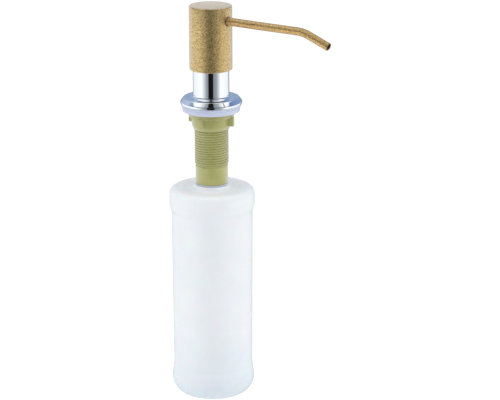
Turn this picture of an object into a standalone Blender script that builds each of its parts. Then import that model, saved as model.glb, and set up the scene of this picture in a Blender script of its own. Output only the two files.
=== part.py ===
"""Deck-mounted soap dispenser, in metres, +Z up.

The origin is the centre of the deck hole, on the deck's upper face. The spout points along +X.
Above the deck stand the chrome collar, the press-down head and its spout. Below it hang the
threaded shank with its wing nut and the bottle. The pump unit drops in through the collar from above.
"""

import math

import bmesh
import bpy
from mathutils import Matrix, Vector

# Clearances
GAP = 0.0003  # between two pieces that seat on each other
RUNNING_GAP = 0.0003  # around a piece that slides or turns in another

# Above the deck
GASKET_THICKNESS = 0.0018
GASKET_RADIUS = 0.0240
GASKET_LIP = 0.00035  # width of the rim that presses on the deck
FLANGE_THICKNESS = 0.0054
FLANGE_RADIUS = 0.0250
FLANGE_BEVEL = 0.0026
FLANGE_UNDERCUT = 0.0003  # how much narrower its lower edge is
FLANGE_WAIST = 0.4  # share of its thickness at which it is widest
FLANGE_ROUND = 0.0012
FLANGE_TOP_ROUND = 0.0015
COLUMN_RADIUS = 0.01457
COLUMN_WALL = 0.00115
COLUMN_FOOT_ROUND = 0.0018
COLUMN_TOP_ROUND = 0.0005
COLUMN_HEIGHT = 0.0293  # above the flange, most of its top end hidden in the head
HEAD_ROOM = 0.00063  # between its bore and the column
HEAD_HEIGHT = 0.0516
HEAD_WALL = 0.0021
HEAD_TOP_WALL = 0.0030
HEAD_OVERLAP = 0.0068  # how far the head covers the column at rest
HEAD_TOP_ROUND = 0.0013
HEAD_RIM_ROUND = 0.0009
HEAD_MOUTH_ROUND = 0.0006
STROKE = 0.015
STROKE_MARGIN = 0.001

# Spout
SPOUT_DROP = 0.0112  # spout axis below the head's top
SPOUT_RADIUS = 0.0033
SPOUT_WALL = 0.0008
SPOUT_REACH = 0.0825  # axis to the start of the bend
SPOUT_BEND_RADIUS = 0.0300
SPOUT_BEND = math.radians(20.8)
SPOUT_TIP = 0.0195  # straight end after the bend
SPOUT_SOCKET_START = 0.0060
GROMMET_WALL = 0.0005
GROMMET_RECESS = 0.0004

# Threaded shank and what hangs on it
SHANK_BORE = 0.0108
SHANK_WALL = 0.0023  # of the plain end that the bottle meets
THREAD_RADIUS = 0.0137
THREAD_DEPTH = 0.0010
THREAD_PITCH = 0.0020
THREAD_START = 0.0008  # below the deck's upper face
THREAD_LENGTH = 0.0476
PLAIN_LENGTH = 0.0149
BOTTLE_SOCKET_DEPTH = 0.0150
WASHER_THICKNESS = 0.0040
WASHER_RADIUS = 0.0235
WASHER_FOOT_RADIUS = 0.0230
WASHER_ROUND = 0.0012
NUT_FLANGE_THICKNESS = 0.0039
NUT_FLANGE_RADIUS = 0.0184
NUT_WALL = 0.0018
NUT_END_WALL = 0.0005
NUT_TAPER = 0.0034  # height of its tapered lower end
NUT_BODY_HEIGHT = 0.0103
NUT_ROUND = 0.0006
WING_COUNT = 4
WING_HEIGHT = 0.0068
WING_THICKNESS = 0.0026
WING_TIP_RADIUS = 0.0202
WING_FIRST_ANGLE = math.radians(8)

# Bottle
BOTTLE_SEAL_THICKNESS = 0.0008
BOTTLE_WALL = 0.0012
NECK_RADIUS = 0.0114
NECK_WALL = 0.0018
NECK_HEIGHT = 0.0132
BEAD_RADIUS = 0.01495
BEAD_HEIGHT = 0.0023
BEAD_ROUND = 0.0008
SHOULDER_RADIUS = 0.0346
SHOULDER_ROUND = 0.0058
SHOULDER_DEPTH = 0.0152
BODY_TOP_RADIUS = 0.0329
BODY_BOTTOM_RADIUS = 0.0322
BODY_LENGTH = 0.1305
STEP_LENGTH = 0.0045
STEP_TOP_ROUND = 0.0050
STEP_FOOT_ROUND = 0.0030
FOOT_RADIUS = 0.0337
FOOT_BLEND = 0.0100
FOOT_BLEND_ROUND = 0.0060
FOOT_DEPTH = 0.0155
FOOT_ROUND = 0.0140
ROUND_CUT = 0.586  # an arc of a quarter turn is drawn from two corners, this share of its radius away

# Pump unit
PUMP_SEAT_DEPTH = 0.0120  # shank top below the column's top
PUMP_GASKET_THICKNESS = 0.0012
CYLINDER_RADIUS = 0.0085
CYLINDER_WALL = 0.0015
CYLINDER_LENGTH = 0.0640
CYLINDER_FLANGE_THICKNESS = 0.0020
CYLINDER_FLOOR = 0.0020
CYLINDER_ROUND = 0.0010
VALVE_SEAT_THICKNESS = 0.0020
VALVE_SEAT_BORE = 0.0017
VALVE_BODY_WALL = 0.0017
TUBE_SOCKET_DEPTH = 0.0100
TUBE_SOCKET_WALL = 0.0015
CAP_HEIGHT = 0.0050
CAP_ROUND = 0.0008
CAP_INSET = 0.0005  # of the cap's rim inside the cylinder flange's
WIPER_THICKNESS = 0.0014
WIPER_LAND = 0.0006
STEM_RADIUS = 0.0035
STEM_BORE = 0.0017
STEM_ROUND = 0.0004
STEM_FOOT_ROOM = 0.0014  # between the stem's foot and the barrel's bore
STEM_FOOT_THICKNESS = 0.0016
STEM_TOP_DROP = 0.0116  # stem top below the spout axis
PISTON_HEIGHT = 0.0080
PISTON_WAIST = 0.0012
SPRING_LENGTH = 0.0277
SPRING_WIRE = 0.0010
SPRING_TURNS = 8
CAGE_THICKNESS = 0.0033
CAGE_BORE = 0.0018
BALL_RADIUS = 0.0024
BALL_LIFT = 0.0015
BALL_SIDE_ROOM = 0.0007
DIP_TUBE_RADIUS = 0.0030
DIP_TUBE_WALL = 0.0008
DIP_TUBE_FLOOR_ROOM = 0.0095  # tube end above the bottle's inner floor
CORE_CHANNEL = 0.0018
CORE_BOSS_WALL = 0.0025

# Facets round each turned piece
WIDE_SEGMENTS = 40
MEDIUM_SEGMENTS = 24
SMALL_SEGMENTS = 16
FILLET_STEPS = 2

# Levels and radii that follow from the sizes above
FLANGE_BOTTOM = GASKET_THICKNESS + GAP
FLANGE_TOP = FLANGE_BOTTOM + FLANGE_THICKNESS
COLUMN_TOP = FLANGE_TOP + COLUMN_HEIGHT
COLUMN_BORE = COLUMN_RADIUS - COLUMN_WALL
HEAD_BOTTOM = COLUMN_TOP - HEAD_OVERLAP
HEAD_TOP = HEAD_BOTTOM + HEAD_HEIGHT
HEAD_CEILING = HEAD_TOP - HEAD_TOP_WALL
HEAD_BORE = COLUMN_RADIUS + HEAD_ROOM
HEAD_RADIUS = HEAD_BORE + HEAD_WALL
SPOUT_LEVEL = HEAD_TOP - SPOUT_DROP
SPOUT_HOLE = SPOUT_RADIUS + GROMMET_WALL + 2 * GAP

SHANK_TOP = COLUMN_TOP - PUMP_SEAT_DEPTH
SHANK_TOP_RADIUS = COLUMN_BORE - GAP
THREAD_END = -THREAD_START - THREAD_LENGTH
PLAIN_RADIUS = SHANK_BORE + SHANK_WALL
SHANK_BOTTOM = THREAD_END - PLAIN_LENGTH
THREAD_ROOT = THREAD_RADIUS - THREAD_DEPTH
NUT_BORE = THREAD_RADIUS + RUNNING_GAP
NUT_RADIUS = NUT_BORE + NUT_WALL
NUT_TOP = -WASHER_THICKNESS - GAP
NUT_FLANGE_BOTTOM = NUT_TOP - NUT_FLANGE_THICKNESS
NUT_BOTTOM = NUT_FLANGE_BOTTOM - NUT_BODY_HEIGHT

BOTTLE_SEAL_TOP = SHANK_BOTTOM - GAP
BEAD_TOP = BOTTLE_SEAL_TOP - BOTTLE_SEAL_THICKNESS - GAP
NECK_TOP = BEAD_TOP + NECK_HEIGHT
NECK_BORE = NECK_RADIUS - NECK_WALL
SHOULDER_LEVEL = BEAD_TOP - BEAD_HEIGHT
BODY_TOP = SHOULDER_LEVEL - SHOULDER_DEPTH
BODY_BOTTOM = BODY_TOP - STEP_LENGTH - BODY_LENGTH
FOOT_TOP = BODY_BOTTOM - FOOT_BLEND
BOTTLE_BOTTOM = FOOT_TOP - FOOT_DEPTH
BOTTLE_FLOOR = BOTTLE_BOTTOM + BOTTLE_WALL

PUMP_GASKET_BOTTOM = SHANK_TOP + GAP
CYLINDER_SEAT = PUMP_GASKET_BOTTOM + PUMP_GASKET_THICKNESS + GAP
CYLINDER_TOP = CYLINDER_SEAT + CYLINDER_FLANGE_THICKNESS
CYLINDER_BORE = CYLINDER_RADIUS - CYLINDER_WALL
CYLINDER_BORE_END = CYLINDER_SEAT - CYLINDER_LENGTH
CYLINDER_BODY_END = CYLINDER_BORE_END - CYLINDER_FLOOR
CAP_BOTTOM = CYLINDER_TOP + GAP
CAP_TOP = CAP_BOTTOM + CAP_HEIGHT
PUMP_FLANGE_RADIUS = COLUMN_BORE - RUNNING_GAP
BALL_POCKET = BALL_RADIUS + BALL_SIDE_ROOM
BALL_SEAT_HEIGHT = math.sqrt(BALL_RADIUS**2 - VALVE_SEAT_BORE**2) + GAP
BALL_ROOM = BALL_SEAT_HEIGHT + BALL_RADIUS + BALL_LIFT + GAP
VALVE_SEAT_TOP = CYLINDER_BORE_END - BALL_ROOM
TUBE_SOCKET_TOP = VALVE_SEAT_TOP - VALVE_SEAT_THICKNESS
TUBE_SOCKET_BORE = DIP_TUBE_RADIUS + GAP
TUBE_SOCKET_END = TUBE_SOCKET_TOP - TUBE_SOCKET_DEPTH
CAGE_TOP = CYLINDER_BORE_END + GAP + CAGE_THICKNESS
SPRING_BOTTOM = CAGE_TOP + GAP
SPRING_TOP = SPRING_BOTTOM + SPRING_LENGTH
STEM_BOTTOM = SPRING_TOP + GAP
STEM_TOP = SPOUT_LEVEL - STEM_TOP_DROP
STEM_SLEEVE = STEM_RADIUS + RUNNING_GAP
PISTON_BOTTOM = STEM_BOTTOM + STEM_FOOT_THICKNESS + GAP
PISTON_RADIUS = CYLINDER_BORE - RUNNING_GAP
STEM_FOOT_RADIUS = CYLINDER_BORE - STEM_FOOT_ROOM
CORE_BOTTOM = COLUMN_TOP + STROKE + STROKE_MARGIN
CORE_BOSS_BOTTOM = CAP_TOP + STROKE + STROKE_MARGIN
CORE_TOP = HEAD_CEILING - GAP


def clear_scene():
    for obj in list(bpy.data.objects):
        bpy.data.objects.remove(obj)


def make_material(name, colour, roughness, metallic=0.0, alpha=1.0):
    """A Principled BSDF with one colour, which is what each moulded or coated piece needs here."""
    made = bpy.data.materials.new(name)
    made.use_nodes = True
    shader = made.node_tree.nodes["Principled BSDF"]
    shader.inputs["Base Color"].default_value = (*colour, 1.0)
    shader.inputs["Roughness"].default_value = roughness
    shader.inputs["Metallic"].default_value = metallic
    shader.inputs["Alpha"].default_value = alpha
    made.diffuse_color = (*colour, alpha)
    return made


def make_body(name, parent=None):
    """An empty on the dispenser's axis, which every joint turns or slides on."""
    empty = bpy.data.objects.new(name, None)
    bpy.context.scene.collection.objects.link(empty)
    empty.parent = parent
    return empty


def add_object(name, bm, material, parent):
    """Turns a bmesh into a named object that is shaded smooth except at its corners."""
    bmesh.ops.remove_doubles(bm, verts=bm.verts, dist=1e-7)
    bmesh.ops.recalc_face_normals(bm, faces=bm.faces)
    mesh = bpy.data.meshes.new(name)
    bm.to_mesh(mesh)
    bm.free()
    mesh.shade_smooth()
    mesh.set_sharp_from_angle(angle=math.radians(35))
    mesh.materials.append(material)
    obj = bpy.data.objects.new(name, mesh)
    bpy.context.scene.collection.objects.link(obj)
    obj.parent = parent
    return obj


def add_helper(name, bm, parent):
    """A cutter or a joined lump: a mesh that only a Boolean reads."""
    helper = add_object(name, bm, bpy.data.materials["guide"], parent)
    helper.hide_render = True
    helper.display_type = "WIRE"
    return helper


def add_boolean(obj, other, operation):
    modifier = obj.modifiers.new(other.name, "BOOLEAN")
    modifier.object = other
    modifier.operation = operation
    modifier.solver = "EXACT"


def fillet(before, corner, after, radius):
    """The points of a corner rounded to this radius, which each side's length limits."""
    along_back = before - corner
    along_on = after - corner
    half = along_back.angle(along_on) / 2
    reach = min(radius / math.tan(half), 0.49 * along_back.length, 0.49 * along_on.length)
    bend_radius = reach * math.tan(half)
    bisector = (along_back.normalized() + along_on.normalized()).normalized()
    centre = corner + bisector * (bend_radius / math.sin(half))
    start = corner + along_back.normalized() * reach - centre
    end = corner + along_on.normalized() * reach - centre
    turn = start.angle_signed(end)
    arc = []
    for step in range(FILLET_STEPS + 1):
        angle = -turn * step / FILLET_STEPS
        arc.append(centre + Matrix.Rotation(angle, 2) @ start)
    return arc


def outline(corners):
    """Corners are (radius, height) or (radius, height, rounding), in order round the section."""
    points = [Vector(corner[:2]) for corner in corners]
    made = []
    for index, corner in enumerate(corners):
        if len(corner) == 2:
            made.append(points[index])
            continue
        following = points[(index + 1) % len(points)]
        made += fillet(points[index - 1], points[index], following, corner[2])
    return made


def spun(section, segments):
    """Spins a section round Z. A section that starts on the axis is left open there."""
    bm = bmesh.new()
    verts = [bm.verts.new((point.x, 0.0, point.y)) for point in section]
    pairs = list(zip(verts, verts[1:]))
    if section[0].x > 0:
        pairs.append((verts[-1], verts[0]))
    edges = [bm.edges.new(pair) for pair in pairs]
    bmesh.ops.spin(
        bm,
        geom=verts + edges,
        axis=(0, 0, 1),
        cent=(0, 0, 0),
        angle=math.tau,
        steps=segments,
        use_merge=True,
    )
    return bm


def turned(name, corners, segments, material, parent):
    return add_object(name, spun(outline(corners), segments), material, parent)


def ring(name, bore, radius, bottom, top, material, parent, segments=SMALL_SEGMENTS):
    corners = [(bore, bottom), (radius, bottom), (radius, top), (bore, top)]
    return turned(name, corners, segments, material, parent)


def cylinder_along_x(start, end, radius, level):
    """A closed cylinder whose axis is parallel to X, at this level."""
    bm = bmesh.new()
    place = Matrix.Translation(((start + end) / 2, 0, level)) @ Matrix.Rotation(math.pi / 2, 4, "Y")
    bmesh.ops.create_cone(
        bm,
        cap_ends=True,
        segments=SMALL_SEGMENTS,
        radius1=radius,
        radius2=radius,
        depth=end - start,
        matrix=place,
    )
    return bm


def circle_row(bm, centre, side, up, radius, sides):
    """One ring of vertices round a path's point."""
    row = []
    for step in range(sides):
        angle = math.tau * step / sides
        row.append(bm.verts.new(centre + (side * math.cos(angle) + up * math.sin(angle)) * radius))
    return row


def bridge_rows(bm, rows):
    for first, second in zip(rows, rows[1:]):
        for index in range(len(first)):
            after = (index + 1) % len(first)
            bm.faces.new((first[index], first[after], second[after], second[index]))


# Head

def make_head_shell(material, parent):
    """The coated cap: closed at the top, open below, with the spout's hole in its front."""
    corners = [
        (0, HEAD_TOP),
        (HEAD_RADIUS, HEAD_TOP, HEAD_TOP_ROUND),
        (HEAD_RADIUS, HEAD_BOTTOM, HEAD_RIM_ROUND),
        (HEAD_BORE, HEAD_BOTTOM, HEAD_MOUTH_ROUND),
        (HEAD_BORE, HEAD_CEILING),
        (0, HEAD_CEILING),
    ]
    shell = turned("head_shell", corners, WIDE_SEGMENTS, material, parent)
    hole = cylinder_along_x(HEAD_BORE / 2, HEAD_RADIUS * 1.2, SPOUT_HOLE, SPOUT_LEVEL)
    add_boolean(shell, add_helper("head_shell_spout_hole", hole, parent), "DIFFERENCE")


def make_head_core(material, parent):
    """The moulded insert that grips the stem, holds the spout and leads the soap to it."""
    radius = HEAD_BORE - GAP
    chamber_top = STEM_TOP + BALL_ROOM
    boss = STEM_SLEEVE + CORE_BOSS_WALL
    corners = [
        (0, CORE_TOP),
        (radius, CORE_TOP),
        (radius, CORE_BOTTOM),
        (boss, CORE_BOTTOM),
        (boss, CORE_BOSS_BOTTOM),
        (STEM_SLEEVE, CORE_BOSS_BOTTOM),
        (STEM_SLEEVE, STEM_TOP + GAP),
        (BALL_POCKET, STEM_TOP + GAP),
        (BALL_POCKET, chamber_top),
        (CORE_CHANNEL, chamber_top),
        (CORE_CHANNEL, SPOUT_LEVEL),
        (0, SPOUT_LEVEL),
    ]
    core = turned("head_core", corners, MEDIUM_SEGMENTS, material, parent)
    socket = cylinder_along_x(
        SPOUT_SOCKET_START - GAP, HEAD_RADIUS, SPOUT_RADIUS + GAP, SPOUT_LEVEL
    )
    add_boolean(core, add_helper("head_core_spout_socket", socket, parent), "DIFFERENCE")
    channel = cylinder_along_x(-CORE_CHANNEL / 2, HEAD_BORE / 2, CORE_CHANNEL, SPOUT_LEVEL)
    add_boolean(core, add_helper("head_core_channel", channel, parent), "DIFFERENCE")


def spout_path():
    """Points and directions along the spout: level, then a bend downwards, then straight."""
    path = []
    for share in (0.0, 0.5):
        reach = SPOUT_SOCKET_START + share * (SPOUT_REACH - SPOUT_SOCKET_START)
        path.append((Vector((reach, 0, SPOUT_LEVEL)), 0.0))
    bend_steps = 6
    for step in range(bend_steps + 1):
        angle = SPOUT_BEND * step / bend_steps
        place = Vector((math.sin(angle), 0, math.cos(angle) - 1)) * SPOUT_BEND_RADIUS
        path.append((Vector((SPOUT_REACH, 0, SPOUT_LEVEL)) + place, angle))
    way = Vector((math.cos(SPOUT_BEND), 0, -math.sin(SPOUT_BEND)))
    path.append((path[-1][0] + way * SPOUT_TIP, SPOUT_BEND))
    return path


def make_spout(material, parent):
    """A bent tube, open at both ends."""
    bm = bmesh.new()
    outer = []
    inner = []
    for point, angle in spout_path():
        up = Vector((math.sin(angle), 0, math.cos(angle)))
        side = Vector((0, 1, 0))
        outer.append(circle_row(bm, point, side, up, SPOUT_RADIUS, SMALL_SEGMENTS))
        inner.append(circle_row(bm, point, side, up, SPOUT_RADIUS - SPOUT_WALL, SMALL_SEGMENTS))
    bridge_rows(bm, outer + inner[::-1] + outer[:1])
    add_object("spout_tube", bm, material, parent)


def make_spout_grommet(material, parent):
    """The dark ring in the head's hole, round the spout. It is turned upright, then laid along X."""
    section = outline(
        [
            (SPOUT_RADIUS + GAP, HEAD_BORE),
            (SPOUT_RADIUS + GAP + GROMMET_WALL, HEAD_BORE),
            (SPOUT_RADIUS + GAP + GROMMET_WALL, HEAD_RADIUS - GROMMET_RECESS),
            (SPOUT_RADIUS + GAP, HEAD_RADIUS - GROMMET_RECESS),
        ]
    )
    bm = spun(section, SMALL_SEGMENTS)
    bmesh.ops.rotate(bm, verts=bm.verts, matrix=Matrix.Rotation(math.pi / 2, 3, "Y"))
    bmesh.ops.translate(bm, verts=bm.verts, vec=(0, 0, SPOUT_LEVEL))
    add_object("spout_grommet", bm, material, parent)


# Collar and shank

def make_collar(material, parent):
    """The chrome column with its round flange, one drawn piece, open right through."""
    flat_edge = FLANGE_RADIUS - FLANGE_BEVEL
    corners = [
        (COLUMN_BORE, FLANGE_BOTTOM),
        (FLANGE_RADIUS - FLANGE_UNDERCUT, FLANGE_BOTTOM),
        (FLANGE_RADIUS, FLANGE_BOTTOM + FLANGE_WAIST * FLANGE_THICKNESS, FLANGE_ROUND),
        (flat_edge, FLANGE_TOP, FLANGE_TOP_ROUND),
        (COLUMN_RADIUS, FLANGE_TOP, COLUMN_FOOT_ROUND),
        (COLUMN_RADIUS, COLUMN_TOP, COLUMN_TOP_ROUND),
        (COLUMN_BORE, COLUMN_TOP),
    ]
    turned("chrome_collar", corners, WIDE_SEGMENTS, material, parent)


def make_upper_gasket(material, parent):
    """The flange's gasket, which meets the deck on a narrow lip at its rim."""
    bore = SHANK_TOP_RADIUS + GAP
    lip = GASKET_RADIUS - GASKET_LIP
    corners = [
        (bore, GAP),
        (lip, GAP),
        (lip, 0),
        (GASKET_RADIUS, 0),
        (GASKET_RADIUS, GASKET_THICKNESS),
        (bore, GASKET_THICKNESS),
    ]
    turned("upper_gasket", corners, WIDE_SEGMENTS, material, parent)


def shank_column(angle):
    """The shank's section at one angle, from its top, down the thread and up the bore.

    Each thread row climbs one pitch a turn, so the rows of the last column meet those of the
    first one turn on. Rows beyond the thread's ends gather on its end rings.
    """
    thread_top = -THREAD_START
    points = [(SHANK_TOP_RADIUS, SHANK_TOP), (SHANK_TOP_RADIUS, thread_top)]
    row_step = THREAD_PITCH / 2
    rows = math.ceil((THREAD_LENGTH + 2 * THREAD_PITCH) / row_step)
    for row in range(rows + 1):
        height = thread_top + THREAD_PITCH * angle / math.tau - row_step * row
        if THREAD_END < height < thread_top:
            radius = THREAD_ROOT if row % 2 else THREAD_RADIUS
        else:
            radius = THREAD_ROOT
        points.append((radius, min(max(height, THREAD_END), thread_top)))
    socket_bore = NECK_RADIUS + RUNNING_GAP
    socket_top = SHANK_BOTTOM + BOTTLE_SOCKET_DEPTH
    points += [
        (PLAIN_RADIUS, THREAD_END),
        (PLAIN_RADIUS, SHANK_BOTTOM),
        (socket_bore, SHANK_BOTTOM),
        (socket_bore, socket_top),
        (SHANK_BORE, socket_top),
        (SHANK_BORE, SHANK_TOP),
        (SHANK_TOP_RADIUS, SHANK_TOP),
    ]
    return points


def make_shank(material, parent):
    """The right-hand threaded tube, with the bottle's socket in its plain lower end."""
    bm = bmesh.new()
    columns = []
    for step in range(MEDIUM_SEGMENTS + 1):
        angle = math.tau * step / MEDIUM_SEGMENTS
        way = Vector((math.cos(angle), math.sin(angle), 0))
        column = []
        for radius, height in shank_column(angle):
            column.append(bm.verts.new(way * radius + Vector((0, 0, height))))
        columns.append(column)
    for first, second in zip(columns, columns[1:]):
        for row in range(len(first) - 1):
            bm.faces.new((first[row], first[row + 1], second[row + 1], second[row]))
    add_object("threaded_shank", bm, material, parent)


def make_under_washer(material, parent):
    """The soft washer under the deck, a little narrower at its lower face."""
    corners = [
        (NUT_BORE, -WASHER_THICKNESS),
        (WASHER_FOOT_RADIUS, -WASHER_THICKNESS, WASHER_ROUND),
        (WASHER_RADIUS, 0),
        (NUT_BORE, 0),
    ]
    turned("under_washer", corners, WIDE_SEGMENTS, material, parent)


def make_wing_nut(material, parent):
    """The nut that clamps the dispenser from under the deck, with short wings to grip."""
    corners = [
        (NUT_BORE, NUT_TOP),
        (NUT_FLANGE_RADIUS, NUT_TOP, NUT_ROUND),
        (NUT_FLANGE_RADIUS, NUT_FLANGE_BOTTOM, NUT_ROUND),
        (NUT_RADIUS, NUT_FLANGE_BOTTOM),
        (NUT_RADIUS, NUT_BOTTOM + NUT_TAPER),
        (NUT_BORE + NUT_END_WALL, NUT_BOTTOM),
        (NUT_BORE, NUT_BOTTOM),
    ]
    nut = turned("wing_nut", corners, MEDIUM_SEGMENTS, material, parent)
    root = NUT_BORE + NUT_WALL / 2
    bottom = NUT_FLANGE_BOTTOM - WING_HEIGHT
    top = NUT_FLANGE_BOTTOM + NUT_FLANGE_THICKNESS / 2
    size = (WING_TIP_RADIUS - root, WING_THICKNESS, top - bottom)
    middle = ((WING_TIP_RADIUS + root) / 2, 0, (top + bottom) / 2)
    for number in range(WING_COUNT):
        turn = Matrix.Rotation(WING_FIRST_ANGLE + math.tau * number / WING_COUNT, 4, "Z")
        bm = bmesh.new()
        place = turn @ Matrix.Translation(middle) @ Matrix.Diagonal((*size, 1))
        bmesh.ops.create_cube(bm, size=1, matrix=place)
        add_boolean(nut, add_helper(f"wing_{number}", bm, parent), "UNION")


# Bottle

def make_bottle(material, parent):
    """The blown bottle: a neck, a bead that meets the seal, and two shallow bands on its body."""
    wall = BOTTLE_WALL
    step_end = BODY_TOP - STEP_LENGTH
    foot_cut = ROUND_CUT * FOOT_ROUND
    inner_cut = ROUND_CUT * (FOOT_ROUND - wall)
    outside = [
        (NECK_BORE, NECK_TOP),
        (NECK_RADIUS, NECK_TOP),
        (NECK_RADIUS, BEAD_TOP),
        (BEAD_RADIUS, BEAD_TOP, BEAD_ROUND),
        (BEAD_RADIUS, SHOULDER_LEVEL),
        (SHOULDER_RADIUS, SHOULDER_LEVEL, SHOULDER_ROUND),
        (SHOULDER_RADIUS, BODY_TOP, STEP_TOP_ROUND),
        (BODY_TOP_RADIUS, step_end, STEP_FOOT_ROUND),
        (BODY_BOTTOM_RADIUS, BODY_BOTTOM, FOOT_BLEND_ROUND),
        (FOOT_RADIUS, FOOT_TOP, FOOT_BLEND_ROUND),
        (FOOT_RADIUS, BOTTLE_BOTTOM + foot_cut, FOOT_ROUND),
        (FOOT_RADIUS - foot_cut, BOTTLE_BOTTOM, FOOT_ROUND),
        (0, BOTTLE_BOTTOM),
    ]
    inside = [
        (0, BOTTLE_FLOOR),
        (FOOT_RADIUS - wall - inner_cut, BOTTLE_FLOOR, FOOT_ROUND - wall),
        (FOOT_RADIUS - wall, BOTTLE_FLOOR + inner_cut, FOOT_ROUND - wall),
        (FOOT_RADIUS - wall, FOOT_TOP, FOOT_BLEND_ROUND + wall),
        (BODY_BOTTOM_RADIUS - wall, BODY_BOTTOM, FOOT_BLEND_ROUND),
        (BODY_TOP_RADIUS - wall, step_end, STEP_FOOT_ROUND + wall),
        (SHOULDER_RADIUS - wall, BODY_TOP, STEP_TOP_ROUND),
        (SHOULDER_RADIUS - wall, SHOULDER_LEVEL - wall, SHOULDER_ROUND - wall),
        (NECK_BORE, SHOULDER_LEVEL - wall),
    ]
    section = outline(inside) + outline(outside)
    add_object("bottle", spun(section, WIDE_SEGMENTS), material, parent)


# Pump unit

def make_cylinder(material, parent):
    """The pump's barrel, its inlet valve's seat and the dip tube's socket, open right through."""
    valve_body = BALL_POCKET + VALVE_BODY_WALL
    socket = TUBE_SOCKET_BORE + TUBE_SOCKET_WALL
    corners = [
        (CYLINDER_BORE, CYLINDER_TOP),
        (PUMP_FLANGE_RADIUS, CYLINDER_TOP),
        (PUMP_FLANGE_RADIUS, CYLINDER_SEAT),
        (CYLINDER_RADIUS, CYLINDER_SEAT),
        (CYLINDER_RADIUS, CYLINDER_BODY_END, CYLINDER_ROUND),
        (valve_body, CYLINDER_BODY_END),
        (valve_body, TUBE_SOCKET_TOP),
        (socket, TUBE_SOCKET_TOP - GAP),
        (socket, TUBE_SOCKET_END),
        (TUBE_SOCKET_BORE, TUBE_SOCKET_END),
        (TUBE_SOCKET_BORE, TUBE_SOCKET_TOP),
        (VALVE_SEAT_BORE, TUBE_SOCKET_TOP),
        (VALVE_SEAT_BORE, VALVE_SEAT_TOP),
        (BALL_POCKET, VALVE_SEAT_TOP),
        (BALL_POCKET, CYLINDER_BORE_END),
        (CYLINDER_BORE, CYLINDER_BORE_END),
    ]
    turned("pump_cylinder", corners, MEDIUM_SEGMENTS, material, parent)


def make_cylinder_cap(material, parent):
    """The cap that closes the barrel, guides the stem and holds the wiper down."""
    rim = PUMP_FLANGE_RADIUS - CAP_INSET
    pocket = CYLINDER_BORE + WIPER_LAND + GAP
    pocket_top = CAP_BOTTOM + WIPER_THICKNESS + GAP
    corners = [
        (STEM_SLEEVE, CAP_TOP),
        (rim, CAP_TOP, CAP_ROUND),
        (rim, CAP_BOTTOM),
        (pocket, CAP_BOTTOM),
        (pocket, pocket_top),
        (STEM_SLEEVE, pocket_top),
    ]
    turned("cylinder_cap", corners, MEDIUM_SEGMENTS, material, parent)


def make_stem(material, parent):
    """The hollow stem that carries the soap up, with a foot that the spring pushes on."""
    foot_top = STEM_BOTTOM + STEM_FOOT_THICKNESS
    corners = [
        (STEM_BORE, STEM_TOP),
        (STEM_RADIUS, STEM_TOP, STEM_ROUND),
        (STEM_RADIUS, foot_top),
        (STEM_FOOT_RADIUS, foot_top),
        (STEM_FOOT_RADIUS, STEM_BOTTOM),
        (STEM_BORE, STEM_BOTTOM),
    ]
    turned("pump_stem", corners, SMALL_SEGMENTS, material, parent)


def make_piston(material, parent):
    """The sliding seal: two sealing rims with a waist between them."""
    quarter = PISTON_HEIGHT / 4
    waist = PISTON_RADIUS - PISTON_WAIST
    corners = [
        (STEM_SLEEVE, PISTON_BOTTOM),
        (PISTON_RADIUS, PISTON_BOTTOM),
        (PISTON_RADIUS, PISTON_BOTTOM + quarter),
        (waist, PISTON_BOTTOM + 1.4 * quarter),
        (waist, PISTON_BOTTOM + 2.6 * quarter),
        (PISTON_RADIUS, PISTON_BOTTOM + 3 * quarter),
        (PISTON_RADIUS, PISTON_BOTTOM + PISTON_HEIGHT),
        (STEM_SLEEVE, PISTON_BOTTOM + PISTON_HEIGHT),
    ]
    turned("piston", corners, MEDIUM_SEGMENTS, material, parent)


def make_spring(material, parent):
    """A round-wire compression spring between the ball cage and the stem's foot."""
    wire = SPRING_WIRE / 2
    coil = STEM_FOOT_RADIUS - wire
    steps_per_turn = 12
    wire_sides = 5
    steps = SPRING_TURNS * steps_per_turn
    bm = bmesh.new()
    rows = []
    for step in range(steps + 1):
        angle = math.tau * step / steps_per_turn
        outward = Vector((math.cos(angle), math.sin(angle), 0))
        height = SPRING_BOTTOM + wire + (SPRING_LENGTH - 2 * wire) * step / steps
        centre = outward * coil + Vector((0, 0, height))
        rows.append(circle_row(bm, centre, outward, Vector((0, 0, 1)), wire, wire_sides))
    bridge_rows(bm, rows)
    bm.faces.new(rows[0])
    bm.faces.new(rows[-1])
    add_object("return_spring", bm, material, parent)


def make_ball(name, seat_level, material, parent):
    """A valve ball just clear of the bore that it closes."""
    bm = bmesh.new()
    place = Matrix.Translation((0, 0, seat_level + BALL_SEAT_HEIGHT))
    bmesh.ops.create_icosphere(bm, subdivisions=2, radius=BALL_RADIUS, matrix=place)
    add_object(name, bm, material, parent)


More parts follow.
